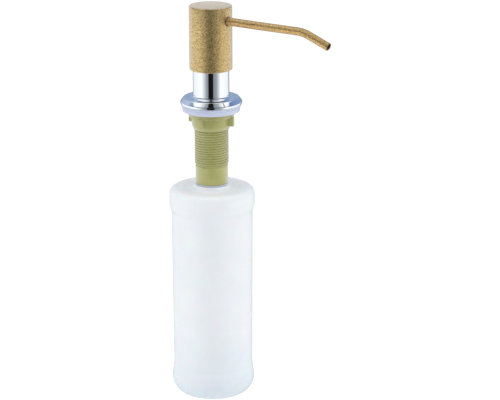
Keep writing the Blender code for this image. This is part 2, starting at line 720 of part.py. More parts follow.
def main():
    clear_scene()
    make_material("guide", (0.5, 0.5, 0.5), 0.5)
    coat = make_material("speckled_coat", (0.62, 0.47, 0.25), 0.42, 0.35)
    spout_coat = make_material("spout_coat", (0.62, 0.48, 0.27), 0.40, 0.35)
    chrome = make_material("chrome", (0.80, 0.80, 0.80), 0.06, 1.0)
    gasket = make_material("gasket_plastic", (0.56, 0.60, 0.70), 0.45, 0.0, 0.85)
    olive = make_material("shank_plastic", (0.40, 0.41, 0.17), 0.45)
    nut_plastic = make_material("nut_plastic", (0.36, 0.36, 0.15), 0.45)
    blown = make_material("bottle_plastic", (0.80, 0.83, 0.86), 0.35, 0.0, 0.75)
    moulded = make_material("pump_plastic", (0.82, 0.82, 0.80), 0.40)
    black_rubber = make_material("black_rubber", (0.03, 0.03, 0.03), 0.60)
    spring_steel = make_material("spring_steel", (0.55, 0.55, 0.56), 0.25, 1.0)
    ball_steel = make_material("ball_steel", (0.62, 0.62, 0.64), 0.15, 1.0)
    tube_plastic = make_material("tube_plastic", (0.80, 0.83, 0.84), 0.30, 0.0, 0.6)

    mount = make_body("mount_body")
    washer = make_body("washer_body", mount)
    nut = make_body("nut_body", washer)
    seal_body = make_body("bottle_seal_body", mount)
    bottle_body = make_body("bottle_body", seal_body)
    pump_unit = make_body("pump_unit_body", mount)
    plunger = make_body("plunger_body", pump_unit)
    head = make_body("head_body", plunger)

    make_head_shell(coat, head)
    make_head_core(moulded, head)
    make_spout(spout_coat, head)
    make_spout_grommet(black_rubber, head)

    make_stem(moulded, plunger)
    make_piston(moulded, plunger)
    make_ball("outlet_ball", STEM_TOP, ball_steel, plunger)

    make_cylinder(moulded, pump_unit)
    make_cylinder_cap(moulded, pump_unit)
    ring(
        "stem_wiper",
        STEM_SLEEVE,
        CYLINDER_BORE + WIPER_LAND,
        CAP_BOTTOM,
        CAP_BOTTOM + WIPER_THICKNESS,
        black_rubber,
        pump_unit,
    )
    make_spring(spring_steel, pump_unit)
    ring(
        "ball_cage",
        CAGE_BORE,
        PISTON_RADIUS,
        CYLINDER_BORE_END + GAP,
        CAGE_TOP,
        moulded,
        pump_unit,
    )
    make_ball("inlet_ball", VALVE_SEAT_TOP, ball_steel, pump_unit)
    ring(
        "dip_tube",
        DIP_TUBE_RADIUS - DIP_TUBE_WALL,
        DIP_TUBE_RADIUS,
        BOTTLE_FLOOR + DIP_TUBE_FLOOR_ROOM,
        TUBE_SOCKET_TOP - GAP,
        tube_plastic,
        pump_unit,
    )
    ring(
        "pump_gasket",
        CYLINDER_RADIUS + GAP,
        PUMP_FLANGE_RADIUS,
        PUMP_GASKET_BOTTOM,
        PUMP_GASKET_BOTTOM + PUMP_GASKET_THICKNESS,
        black_rubber,
        pump_unit,
    )

    make_collar(chrome, mount)
    make_upper_gasket(gasket, mount)
    make_shank(olive, mount)

    make_under_washer(gasket, washer)
    make_wing_nut(nut_plastic, nut)

    ring(
        "bottle_seal",
        NECK_RADIUS + GAP,
        PLAIN_RADIUS,
        BOTTLE_SEAL_TOP - BOTTLE_SEAL_THICKNESS,
        BOTTLE_SEAL_TOP,
        gasket,
        seal_body,
        MEDIUM_SEGMENTS,
    )
    make_bottle(blown, bottle_body)


main()
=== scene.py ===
# %% [markdown]
# # A deck-mounted soap dispenser
#
# The dispenser is a fixed CAD model with joints. This lesson gives it its looks: fine round surfaces
# in place of the faceted CAD ones, and procedural materials for coated metal, chrome, moulded plastic
# and a blown bottle. Everything is in metres, +Z is up, the spout points along +X, and the origin is
# the centre of the hole in the sink deck.

# %% Load the frame
import math

import bmesh
import bpy
import numpy as np
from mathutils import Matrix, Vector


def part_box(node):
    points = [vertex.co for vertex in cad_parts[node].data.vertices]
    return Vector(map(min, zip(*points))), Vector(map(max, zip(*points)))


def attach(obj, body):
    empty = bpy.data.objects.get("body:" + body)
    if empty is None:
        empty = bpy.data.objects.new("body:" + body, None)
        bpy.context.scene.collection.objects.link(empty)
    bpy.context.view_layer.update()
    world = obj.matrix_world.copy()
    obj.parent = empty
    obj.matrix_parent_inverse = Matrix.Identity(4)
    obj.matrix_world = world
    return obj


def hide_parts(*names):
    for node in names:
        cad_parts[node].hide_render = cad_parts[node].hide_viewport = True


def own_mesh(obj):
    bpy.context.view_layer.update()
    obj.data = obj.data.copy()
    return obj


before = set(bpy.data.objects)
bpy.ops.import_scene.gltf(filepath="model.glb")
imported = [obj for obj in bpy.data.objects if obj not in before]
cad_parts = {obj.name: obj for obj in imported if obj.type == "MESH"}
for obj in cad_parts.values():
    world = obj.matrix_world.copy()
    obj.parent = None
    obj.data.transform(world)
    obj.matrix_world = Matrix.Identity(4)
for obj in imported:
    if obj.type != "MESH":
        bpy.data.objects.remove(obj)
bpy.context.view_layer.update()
MM = 0.001

# %% [markdown]
# ## Reading sizes off the frame
#
# Each round CAD piece was spun from an outline, and that outline is still in its mesh: it is the loop
# of edges in the half plane y = 0. The side where x is negative has no holes cut in it. Reading it
# back gives every radius and height of a piece with no number copied by hand.


# %% Outline of a turned CAD piece
def outline_of(node):
    """The (radius, height) points of a turned CAD piece, in order round its section.

    Vertices within a micrometre are one point. Edges whose two ends lie in the half plane join up
    into one loop, or into one open chain for a piece that is solid on its axis.
    """
    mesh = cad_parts[node].data
    points = np.empty(len(mesh.vertices) * 3, np.float32)
    mesh.vertices.foreach_get("co", points)
    points = np.round(points.reshape(-1, 3).astype(float), 6)
    corners = np.empty(len(mesh.loops), np.int32)
    mesh.loops.foreach_get("vertex_index", corners)
    triangles = corners.reshape(-1, 3)
    unique, index = np.unique(points, axis=0, return_inverse=True)
    triangles = index.reshape(-1)[triangles]
    in_plane = (np.abs(unique[:, 1]) < 2e-6) & (unique[:, 0] < 2e-6)
    pairs = np.vstack([triangles[:, [0, 1]], triangles[:, [1, 2]], triangles[:, [2, 0]]])
    pairs = pairs[in_plane[pairs].all(axis=1)]
    pairs = {tuple(sorted(pair)) for pair in pairs.tolist()}
    neighbours = {}
    for first, second in pairs:
        neighbours.setdefault(first, []).append(second)
        neighbours.setdefault(second, []).append(first)
    ends = [point for point, joined in neighbours.items() if len(joined) == 1]
    walk = [min(ends or neighbours, key=lambda point: (unique[point, 2], unique[point, 0]))]
    while True:
        onward = [point for point in neighbours[walk[-1]] if point not in walk]
        if not onward:
            break
        walk.append(onward[0])
    return np.column_stack([-unique[walk, 0], unique[walk, 2]])


# %% [markdown]
# ## Surfaces from formulas
#
# A shape is a function of two parameters on a grid: how far along an outline, and how far round. Numpy
# works out all the points at once, and one helper turns the grid into a mesh. Where the outline meets
# the axis, a whole ring of points falls on one spot, so the helper merges them into a clean pole.


# %% Grid to mesh
def surface(name, grid, wrap_rows=False, wrap_columns=True, sharp=40):
    """A mesh whose vertices are grid[row, column] and whose faces join neighbours on the grid."""
    rows, columns = grid.shape[:2]
    index = np.arange(rows * columns).reshape(rows, columns)
    if wrap_rows:
        index = np.vstack([index, index[:1]])
    if wrap_columns:
        index = np.hstack([index, index[:, :1]])
    quads = np.stack([index[:-1, :-1], index[:-1, 1:], index[1:, 1:], index[1:, :-1]], axis=-1)
    return mesh_object(name, grid.reshape(-1, 3), quads.reshape(-1, 4), sharp)


def mesh_object(name, points, faces, sharp=40):
    """An object at the origin with these points and faces, merged, facing out and shaded smooth."""
    mesh = bpy.data.meshes.new(name)
    mesh.from_pydata(points.tolist(), [], faces.tolist())
    bm = bmesh.new()
    bm.from_mesh(mesh)
    bmesh.ops.remove_doubles(bm, verts=bm.verts, dist=2e-7)
    bmesh.ops.dissolve_degenerate(bm, edges=bm.edges, dist=1e-8)
    bmesh.ops.recalc_face_normals(bm, faces=bm.faces)
    bm.to_mesh(mesh)
    bm.free()
    mesh.shade_smooth()
    mesh.set_sharp_from_angle(angle=math.radians(sharp))
    made = bpy.data.objects.new(name, mesh)
    bpy.context.scene.collection.objects.link(made)
    print(name, len(mesh.vertices), "points")
    return made


# %% [markdown]
# Real edges are never knife sharp. `rounded` takes the corners of an outline and swaps each one that
# has a radius for an arc, which is what catches the light along the rim of a part.


# %% Rounded outlines
def rounded(corners, steps=6):
    """Corners are (radius, height) or (radius, height, rounding). An arc touches both sides.

    With u and v the unit vectors from the corner to its neighbours, and a half angle h between them,
    the arc starts r / tan(h) along each side, and its centre lies r / sin(h) along u + v.
    """
    points = [np.array(corner[:2], float) for corner in corners]
    made = []
    for number, corner in enumerate(corners):
        here = points[number]
        if len(corner) == 2:
            made.append(here[None])
            continue
        back = points[number - 1] - here
        on = points[(number + 1) % len(points)] - here
        lengths = np.linalg.norm(back), np.linalg.norm(on)
        u, v = back / lengths[0], on / lengths[1]
        half = math.acos(np.clip(u @ v, -1, 1)) / 2
        reach = min(corner[2] / math.tan(half), 0.499 * min(lengths))
        radius = reach * math.tan(half)
        middle = (u + v) / np.linalg.norm(u + v)
        centre = here + middle * radius / math.sin(half)
        share = np.linspace(0, 1, steps + 1)[:, None]
        spread = math.pi - 2 * half
        start = (here + u * reach - centre) / radius
        end = (here + v * reach - centre) / radius
        arc = (np.sin((1 - share) * spread) * start + np.sin(share * spread) * end) / math.sin(spread)
        made.append(centre + radius * arc)
    return np.vstack(made)


def turn(section, segments=96):
    """The grid of a section turned round Z: column k stands at angle 2 pi k / segments."""
    angle = np.linspace(0, math.tau, segments, endpoint=False)
    radius, height = section[:, :1], section[:, 1:]
    return np.stack(
        [radius * np.cos(angle), radius * np.sin(angle), height + 0 * angle], axis=-1
    )


def turned(name, corners, segments=96, steps=6, sharp=40):
    """A turned piece. Its section is a closed loop, unless it starts and ends on the axis."""
    section = rounded(corners, steps)
    on_axis = section[0, 0] < 1e-6 and section[-1, 0] < 1e-6
    return surface(name, turn(section, segments), wrap_rows=not on_axis, sharp=sharp)


# %% [markdown]
# ## Material helpers
#
# A material here is a Principled shader plus a short chain of texture nodes. The helpers make a node,
# set its sockets and link it in one line, so each finish below reads as a recipe. Patterns are laid
# out on Object coordinates, in metres, so a grain of 0.5 mm has a scale of 1 / 0.0005.


# %% Node recipes
def new_material(name, roughness, metallic=0.0, colour=(0.8, 0.8, 0.8), **sockets):
    """A material whose plain numbers sit on the shader's own sockets."""
    made = bpy.data.materials.new(name)
    made.use_nodes = True
    shader = made.node_tree.nodes["Principled BSDF"]
    values = {"Base Color": (*colour, 1), "Roughness": roughness, "Metallic": metallic, **sockets}
    for socket, value in values.items():
        shader.inputs[socket].default_value = value
    made.diffuse_color = (*colour, 1)
    return made


def add_node(made, kind, inputs=None, **settings):
    """A node with its settings. An input is a plain value, or a socket to link from."""
    node = made.node_tree.nodes.new(kind)
    for setting, value in settings.items():
        setattr(node, setting, value)
    for socket, value in (inputs or {}).items():
        if isinstance(value, bpy.types.NodeSocket):
            made.node_tree.links.new(value, node.inputs[socket])
        else:
            node.inputs[socket].default_value = value
    return node


def place(made):
    """Object coordinates, which are the frame's own metres because every piece sits at the origin."""
    return add_node(made, "ShaderNodeTexCoord").outputs["Object"]


def noise(made, grain, detail=2.0, roughness=0.5, stretch=(1, 1, 1)):
    """A noise whose blobs are about one grain across, drawn out by stretch along each axis."""
    spot = add_node(made, "ShaderNodeMapping", {"Vector": place(made), "Scale": stretch})
    sockets = {
        "Vector": spot.outputs[0],
        "Scale": 1 / grain,
        "Detail": detail,
        "Roughness": roughness,
    }
    return add_node(made, "ShaderNodeTexNoise", sockets).outputs["Fac"]


def ramp(made, factor, stops, interpolation="LINEAR"):
    """Colours by factor. stops is a list of (position, (r, g, b))."""
    node = add_node(made, "ShaderNodeValToRGB", {"Fac": factor})
    node.color_ramp.interpolation = interpolation
    points = node.color_ramp.elements
    while len(points) < len(stops):
        points.new(1.0)
    for point, (position, colour) in zip(points, stops):
        point.position = position
        point.color = (*colour, 1)
    return node.outputs["Color"]


def mix(made, factor, first, second, blend="MIX"):
    """Two colours mixed by factor. blend names another way, such as MULTIPLY."""
    node = add_node(made, "ShaderNodeMix", data_type="RGBA", blend_type=blend)
    for number, value in ((0, factor), (6, first), (7, second)):
        if isinstance(value, bpy.types.NodeSocket):
            made.node_tree.links.new(value, node.inputs[number])
        else:
            node.inputs[number].default_value = value
    return node.outputs[2]


def spread(made, factor, low, high):
    """Maps a 0 to 1 factor to the range low to high."""
    sockets = {"Value": factor, "To Min": low, "To Max": high}
    return add_node(made, "ShaderNodeMapRange", sockets).outputs[0]


def bump(made, height, depth, under=None):
    """A normal from a pattern of 0 to 1 that stands depth metres high, laid over the one under it."""
    sockets = {"Height": height, "Strength": 1.0, "Distance": depth}
    if under is not None:
        sockets["Normal"] = under
    return add_node(made, "ShaderNodeBump", sockets).outputs[0]


def finish_material(made, **links):
    """Links each output into the shader socket of that name, with _ for a space."""
    shader = made.node_tree.nodes["Principled BSDF"]
    for socket, output in links.items():
        made.node_tree.links.new(output, shader.inputs[socket.replace("_", " ")])
    return made


def dress(piece, material, body=None, replaces=None):
    """Gives a piece its material, the body it rides on and the CAD node it stands for."""
    piece.data.materials.clear()
    piece.data.materials.append(material)
    if body:
        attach(piece, body)
    if replaces:
        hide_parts(replaces)
    return piece


# %% [markdown]
# ## The speckled coat
#
# The head and spout are metal, coated to match a stone-effect sink. The coat is a clear sand-gold
# paint full of grains about half a millimetre across: most are gold, some are pale cream and some
# dark brown. Voronoi cells give each grain one colour, as real grains have, where a smooth noise
# would only give clouds. A slower noise lets the mixture drift, and the cell edges stand a little
# proud. A soft clear lacquer lies over the grains, and a pale sheen lifts the rims.


# %% Coat material
LACQUER = {"Coat Weight": 0.6, "Coat Roughness": 0.28, "Coat IOR": 1.6}


def speckled_coat(name, grain, tint, roughness, halo):
    sheen = {"Sheen Weight": halo, "Sheen Roughness": 0.50, "Sheen Tint": (1.0, 0.89, 0.76, 1)}
    made = new_material(name, roughness, 0.78, (0.55, 0.40, 0.17), **sheen, **LACQUER)
    cells = add_node(
        made,
        "ShaderNodeTexVoronoi",
        {"Vector": place(made), "Scale": 1 / grain, "Randomness": 1.0},
    )
    pick = add_node(made, "ShaderNodeSeparateColor", {"Color": cells.outputs["Color"]}).outputs[0]
    grains = ramp(
        made,
        pick,
        [
            (0.00, (0.30, 0.165, 0.030)),
            (0.14, (0.47, 0.305, 0.080)),
            (0.34, (0.62, 0.435, 0.130)),
            (0.62, (0.71, 0.520, 0.180)),
            (0.86, (0.84, 0.665, 0.290)),
        ],
        "CONSTANT",
    )
    dust = noise(made, 0.8 * MM, 3.0)
    dust = ramp(made, dust, [(0.32, (0.80, 0.78, 0.74)), (0.68, (1.10, 1.10, 1.10))])
    cloud = noise(made, 9 * MM, 2.0)
    cloud = ramp(made, cloud, [(0.30, (0.93, 0.92, 0.88)), (0.70, (1.05, 1.05, 1.04))])
    colour = mix(made, 1.0, grains, dust, "MULTIPLY")
    colour = mix(made, 1.0, colour, cloud, "MULTIPLY")
    colour = mix(made, 1.0, colour, (*tint, 1), "MULTIPLY")
    grit = bump(made, cells.outputs["Distance"], 0.00006)
    grit = bump(made, noise(made, 0.35 * MM, 2.0), 0.00003, grit)
    matt = spread(made, pick, roughness - 0.06, roughness + 0.08)
    return finish_material(made, Base_Color=colour, Roughness=matt, Normal=grit)


coat = speckled_coat("speckled_coat", 0.52 * MM, (1.0, 0.98, 1.0), 0.32, 1.0)
spout_coat = speckled_coat("spout_coat", 0.55 * MM, (1.05, 0.93, 0.85), 0.34, 0.6)
print("made", coat.name, "and", spout_coat.name)

# %% [markdown]
# ## Chrome, plastics and rubber
#
# Chrome needs no pattern of its own: it shows the room. A trace of uneven polish in the roughness and
# faint swirls in the bump keep it from looking like a perfect mirror.


# %% Chrome
def polished_chrome():
    made = new_material("chrome", 0.05, 1.0, (0.86, 0.88, 0.91))
    wear = noise(made, 6 * MM, 4.0, 0.6)
    swirl = noise(made, 0.5 * MM, 2.0, 0.5, (1, 1, 0.12))
    return finish_material(
        made, Roughness=spread(made, wear, 0.02, 0.055), Normal=bump(made, swirl, 0.0000012)
    )


chrome = polished_chrome()
print("made", chrome.name)

# %% [markdown]
# Moulded plastic has three scales of unevenness: a slow drift of colour from the pigment, fine flecks,
# and a soft orange-peel skin from the mould. One recipe serves the olive thread and nut, the white
# pump parts and the gaskets, each with its own colours and gloss.


# %% Moulded plastic
def moulded(name, pale, deep, roughness, skin=0.00003, **sockets):
    made = new_material(name, roughness, 0.0, pale, **sockets)
    drift = noise(made, 14 * MM, 3.0)
    flecks = noise(made, 0.5 * MM, 3.0, 0.6)
    colour = ramp(made, drift, [(0.30, deep), (0.70, pale)])
    specks = ramp(made, flecks, [(0.30, (0.94, 0.94, 0.93)), (0.62, (1.0, 1.0, 1.0))])
    colour = mix(made, 1.0, colour, specks, "MULTIPLY")
    peel = bump(made, noise(made, 1.6 * MM, 2.0), skin)
    gloss = spread(made, drift, roughness - 0.05, roughness + 0.06)
    return finish_material(made, Base_Color=colour, Roughness=gloss, Normal=peel)


rim_light = {
    "Sheen Weight": 1.0,
    "Sheen Roughness": 0.50,
    "Sheen Tint": (1.0, 1.0, 0.92, 1),
    "Coat Weight": 0.8,
    "Coat Roughness": 0.30,
}
shank_plastic = moulded("shank_plastic", (0.44, 0.43, 0.120), (0.39, 0.375, 0.095), 0.38, **rim_light)
nut_plastic = moulded("nut_plastic", (0.42, 0.41, 0.115), (0.37, 0.36, 0.090), 0.42, **rim_light)
gasket_plastic = moulded(
    "gasket_plastic",
    (0.66, 0.71, 0.86),
    (0.58, 0.63, 0.80),
    0.38,
    **{"Subsurface Weight": 0.25, "Subsurface Scale": 0.004},
)
pump_plastic = moulded("pump_plastic", (0.80, 0.80, 0.78), (0.74, 0.75, 0.74), 0.36)
tube_plastic = moulded(
    "tube_plastic",
    (0.82, 0.86, 0.88),
    (0.76, 0.81, 0.84),
    0.28,
    **{"Transmission Weight": 0.35},
)
black_rubber = moulded("black_rubber", (0.030, 0.028, 0.026), (0.018, 0.017, 0.016), 0.62, 0.00005)
print("made", shank_plastic.name, "and five more")


# %% Steel for the spring and the valve balls
def drawn_steel(name, roughness, stretch):
    made = new_material(name, roughness, 1.0, (0.60, 0.60, 0.61))
    lines = noise(made, 0.25 * MM, 3.0, 0.5, stretch)
    return finish_material(
        made,
        Roughness=spread(made, lines, roughness - 0.06, roughness + 0.10),
        Normal=bump(made, lines, 0.000002),
    )


spring_steel = drawn_steel("spring_steel", 0.24, (0.3, 0.3, 1))
ball_steel = drawn_steel("ball_steel", 0.12, (1, 1, 1))
print("made", spring_steel.name, "and", ball_steel.name)

# %% [markdown]
# ## The blown bottle
#
# The bottle is blown polyethylene: milky, a little blue in its depth, with light that spreads inside the
# wall. Subsurface scattering carries the milkiness. The skin has very slow waves from blowing, and the
# colour grows darker and bluer towards the foot.


# %% Bottle material
def blown_plastic(foot_level, body_level):
    made = new_material(
        "bottle_plastic",
        0.34,
        0.0,
        (0.84, 0.87, 0.90),
        **{"Subsurface Weight": 0.35, "Subsurface Scale": 0.0015, "Sheen Weight": 0.15},
    )
    height = add_node(made, "ShaderNodeSeparateXYZ", {"Vector": place(made)}).outputs[2]
    sockets = {"Value": height, "From Min": foot_level, "From Max": body_level}
    rise = add_node(made, "ShaderNodeMapRange", sockets).outputs[0]
    # The colour grows darker and bluer from the body down to the foot.
    depth = ramp(
        made,
        rise,
        [(0.0, (0.74, 0.81, 0.87)), (0.4, (0.82, 0.86, 0.90)), (1.0, (0.88, 0.895, 0.91))],
    )
    mottle = ramp(made, noise(made, 18 * MM, 3.0), [(0.3, (0.975, 0.98, 0.985)), (0.7, (1.01, 1.01, 1.01))])
    colour = mix(made, 1.0, depth, mottle, "MULTIPLY")
    waves = bump(made, noise(made, 16 * MM, 2.0, 0.5, (1, 1, 0.5)), 0.00016)
    waves = bump(made, noise(made, 1.2 * MM, 2.0), 0.000012, waves)
    return finish_material(made, Base_Color=colour, Normal=waves)


BLUE_FOOT_HEIGHT = 60 * MM
bottle_low, bottle_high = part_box("bottle")
bottle_plastic = blown_plastic(bottle_low.z, bottle_low.z + BLUE_FOOT_HEIGHT)
print("bottle from", bottle_low.z, "to", bottle_high.z)

# %% [markdown]
# ## The head
#
# The head is a plain cylinder with softly rounded rims, hollow below so that it can slide down over
# the collar. Its outline is turned with small roundings on the rims, and the hole for the spout is
# cut by a Boolean. The wall and the ceiling come off the CAD outline.

# %% Head shell
head_outline = outline_of("head_shell")
head_low, head_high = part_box("head_shell")
head_radius = head_outline[:, 0].max()
head_bore = head_outline[:, 0].min()
head_ceiling = head_outline[head_outline[:, 0] < head_bore + 0.01 * MM][:, 1].max()
print("head radius", head_radius, "bore", head_bore, "ceiling", head_ceiling)
head_shell = turned(
    "head",
    [
        (0, head_high.z),
        (head_radius, head_high.z, 1.1 * MM),
        (head_radius, head_low.z, 0.9 * MM),
        (head_bore, head_low.z, 0.5 * MM),
        (head_bore, head_ceiling, 0.8 * MM),
        (0, head_ceiling),
    ],
    segments=160,
)

# %% [markdown]
# ## The spout
#
# The spout is one bent tube: level out of the head, a bend of about twenty degrees, and a short straight
# nose. A hose lines it, and the hose's black is painted shade that darkens the mouth. The CAD tube's rings
# are still in its mesh, so its centreline is read from the frame: its first and last straight stretches
# give two lines, and an arc joins them.

# %% Spout centreline off the frame
grommet_low, grommet_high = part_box("spout_grommet")
spout_level = (grommet_low.z + grommet_high.z) / 2
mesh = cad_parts["spout_tube"].data
tube_points = np.empty(len(mesh.vertices) * 3, np.float32)
mesh.vertices.foreach_get("co", tube_points)
tube_points = np.unique(np.round(tube_points.reshape(-1, 3).astype(float), 6), axis=0)
spout_radius = float(tube_points[:, 1].max())
side_line = tube_points[np.abs(tube_points[:, 1] - spout_radius) < 1e-5]
side_line = side_line[np.argsort(side_line[:, 0])][:, [0, 2]]
side_line = side_line[np.concatenate([[True], np.diff(side_line[:, 0]) > 1e-5])]
nose = side_line[-1] - side_line[-2]
bend_angle = -math.atan2(nose[1], nose[0])
BEND_RINGS = 7  # rings of the CAD tube from the bend's start to its tip
bend_start = side_line[-1 - BEND_RINGS]
bend_radius = (side_line[-2, 0] - bend_start[0]) / math.sin(bend_angle)
nose_length = float(np.hypot(*nose))
print("spout radius", spout_radius, "bend", math.degrees(bend_angle), "radius", bend_radius)


# %% Spout surface
def spout_line():
    """Centreline points and their downward slope: a level run, an arc, and a straight nose."""
    level = np.linspace(side_line[0, 0], bend_start[0], 40)[:-1]
    run = np.column_stack([level, np.full(len(level), spout_level)])
    angle = np.linspace(0, bend_angle, 28)
    arc = bend_start + bend_radius * np.column_stack([np.sin(angle), np.cos(angle) - 1])
    along = np.linspace(0, nose_length, 12)[1:, None]
    way = np.array([math.cos(bend_angle), -math.sin(bend_angle)])
    slopes = np.concatenate([0 * level, angle, np.full(len(along), bend_angle)])
    return np.vstack([run, arc, arc[-1] + along * way]), slopes


def tube_rings(line, slopes, radius, sides=48):
    """Rings square to the centreline: centre + radius (cos t Y + sin t N), N the upward normal."""
    t = np.linspace(0, math.tau, sides, endpoint=False)
    normal = np.stack([np.sin(slopes), np.cos(slopes)], axis=1)[:, None]
    radius = np.broadcast_to(radius, (len(line),))[:, None]
    x = line[:, None, 0] + radius * np.sin(t) * normal[..., 0]
    z = line[:, None, 1] + radius * np.sin(t) * normal[..., 1]
    return np.stack([x, radius * np.cos(t) + 0 * x, z], axis=-1)


SPOUT_WALL = 0.5 * MM
TIP_ROUND = 0.25 * MM
line, slopes = spout_line()
lip_back = (line[-2] - line[-1]) / np.linalg.norm(line[-2] - line[-1]) * TIP_ROUND
outside = tube_rings(
    np.vstack([line[:-1], line[-1] + lip_back, line[-1]]),
    np.append(slopes, slopes[-1]),
    np.append(np.full(len(line), spout_radius), spout_radius - TIP_ROUND),
)
inside = tube_rings(line[::-1], slopes[::-1], spout_radius - SPOUT_WALL)
spout = surface("spout", np.concatenate([outside, inside]), wrap_rows=True)
dress(spout, spout_coat, "head", "spout_tube")

# %% The hose inside the spout, which stops just short of the tip; its black is painted shade for the mouth
LINER_GAP = 0.02 * MM
LINER_WALL = 0.38 * MM
deep, deep_slopes = line[:-1], slopes[:-1]
liner_radius = spout_radius - SPOUT_WALL - LINER_GAP
liner_out = tube_rings(deep, deep_slopes, liner_radius)
liner_in = tube_rings(deep[::-1], deep_slopes[::-1], liner_radius - LINER_WALL)
shade_liner = surface("spout_shade_liner", np.concatenate([liner_out, liner_in]), wrap_rows=True)
# The hose is real, but its black is painted shade that darkens the spout's mouth.
dress(shade_liner, black_rubber, "head")


# %% Spout hole in the head, and the rubber ring in it
def x_ring(name, radii, reach, steps=64):
    """A ring whose axis runs along X at the spout's level: a section of (radius, x) turned round X."""
    bore, radius = radii
    section = np.array([(bore, reach[0]), (radius, reach[0]), (radius, reach[1]), (bore, reach[1])])
    grid = turn(section, steps)
    laid = np.stack([grid[..., 2], grid[..., 1], spout_level + grid[..., 0]], axis=-1)
    return surface(name, laid, wrap_rows=True)


SPOUT_HOLE_RADIUS = 4.0 * MM
GROMMET_RECESS = 0.2 * MM
grommet_radius = (grommet_high.z - grommet_low.z) / 2
hole_angle = np.linspace(0, math.tau, 64, endpoint=False)
hole_reach = head_radius * np.array([[0.5], [1.3]])
hole_grid = np.stack(
    [
        hole_reach + 0 * hole_angle,
        SPOUT_HOLE_RADIUS * np.cos(hole_angle) + 0 * hole_reach,
        spout_level + SPOUT_HOLE_RADIUS * np.sin(hole_angle) + 0 * hole_reach,
    ],
    axis=-1,
)
cutter = surface("spout_hole", hole_grid)
caps = bmesh.new()
caps.from_mesh(cutter.data)
bmesh.ops.holes_fill(caps, edges=caps.edges)
bmesh.ops.recalc_face_normals(caps, faces=caps.faces)
caps.to_mesh(cutter.data)
caps.free()


def boolean(piece, other, operation):
    """Joins or cuts with another mesh, keeps the result and removes the other mesh."""
    modifier = piece.modifiers.new("boolean", "BOOLEAN")
    modifier.object = other
    modifier.operation = operation
    modifier.solver = "EXACT"
    graph = bpy.context.evaluated_depsgraph_get()
    result = bpy.data.meshes.new_from_object(piece.evaluated_get(graph))
    piece.modifiers.clear()
    piece.data = result
    bpy.data.objects.remove(other)
    result.shade_smooth()
    result.set_sharp_from_angle(angle=math.radians(40))


boolean(head_shell, cutter, "DIFFERENCE")
dress(head_shell, coat, "head", "head_shell")
grommet_radii = (spout_radius + 0.1 * MM, grommet_radius)
grommet = x_ring("grommet", grommet_radii, (grommet_low.x, grommet_high.x - GROMMET_RECESS))
dress(grommet, black_rubber, "head", "spout_grommet")

# %% [markdown]
# ## The chrome collar
#
# The collar is drawn from one piece of tube: a straight column that flares into a round flange with a
# flat top, a soft shoulder and an undercut edge. The roundings are what make chrome read as chrome,
# so they get many steps.

# %% Collar
collar_outline = outline_of("chrome_collar")
collar_low, collar_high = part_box("chrome_collar")
flange_radius = collar_outline[:, 0].max()
column_bore = collar_outline[:, 0].min()
column_radius = float(collar_outline[collar_outline[:, 1] > collar_high.z - 1 * MM][:, 0].max())
flange_top = float(collar_outline[collar_outline[:, 0] > 1.2 * column_radius][:, 1].max())
EDGE_UNDERCUT = 0.35 * MM
EDGE_HEIGHT = 1.9 * MM
SHOULDER_RUN = 2.7 * MM
print("flange", flange_radius, "column", column_radius, "flange top", flange_top)
collar = turned(
    "collar",
    [
        (column_bore, collar_low.z),
        (flange_radius - EDGE_UNDERCUT, collar_low.z, 0.2 * MM),
        (flange_radius, collar_low.z + EDGE_HEIGHT, 1.1 * MM),
        (flange_radius - SHOULDER_RUN, flange_top, 1.5 * MM),
        (column_radius, flange_top, 1.8 * MM),
        (column_radius, collar_high.z, 0.4 * MM),
        (column_bore, collar_high.z, 0.3 * MM),
    ],
    segments=160,
    steps=10,
)
dress(collar, chrome, "mount", "chrome_collar")

# %% [markdown]
# ## Gaskets
#
# Two soft bluish-white rings sit above and below the deck. Moulded rings have rounded rims and a fine
# groove where the mould halves met.


# %% Gasket rings
GROOVE_DEPTH = 0.22 * MM
GROOVE_LIP = 0.02 * MM
GROOVE_SHARE = 0.12  # half the groove's height, as a share of the ring's


def gasket_ring(name, node, body, bulge, lean=0.0):
    """A ring with rounded rims and a shallow groove round its edge. lean narrows its lower rim."""
    section = outline_of(node)
    low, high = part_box(node)
    bore, radius = section[:, 0].min(), section[:, 0].max()
    middle = (low.z + high.z) / 2
    groove = GROOVE_SHARE * (high.z - low.z)
    corners = [
        (bore, low.z, 0.3 * MM),
        (radius - lean, low.z, bulge),
        (radius - 0.5 * lean - GROOVE_LIP, middle - groove),
        (radius - 0.5 * lean - GROOVE_DEPTH, middle),
        (radius - 0.5 * lean, middle + groove),
        (radius, high.z, bulge),
        (bore, high.z, 0.3 * MM),
    ]
    made = turned(name, corners, segments=128)
    return dress(made, gasket_plastic, body, node)


gasket_ring("deck_gasket", "upper_gasket", "mount", 0.35 * MM)
gasket_ring("deck_washer", "under_washer", "washer", 1.1 * MM, lean=0.6 * MM)

# %% [markdown]
# ## The wing nut
#
# The nut is a thin threaded sleeve under a flange, with four short wings to turn it by. The sleeve
# narrows at its lower end. Sleeve and flange are turned. A wing is a flat block: a rounded rectangle
# seen from its side, whose rim steps in at both faces, so every edge is broken. A Boolean union makes
# them one skin.

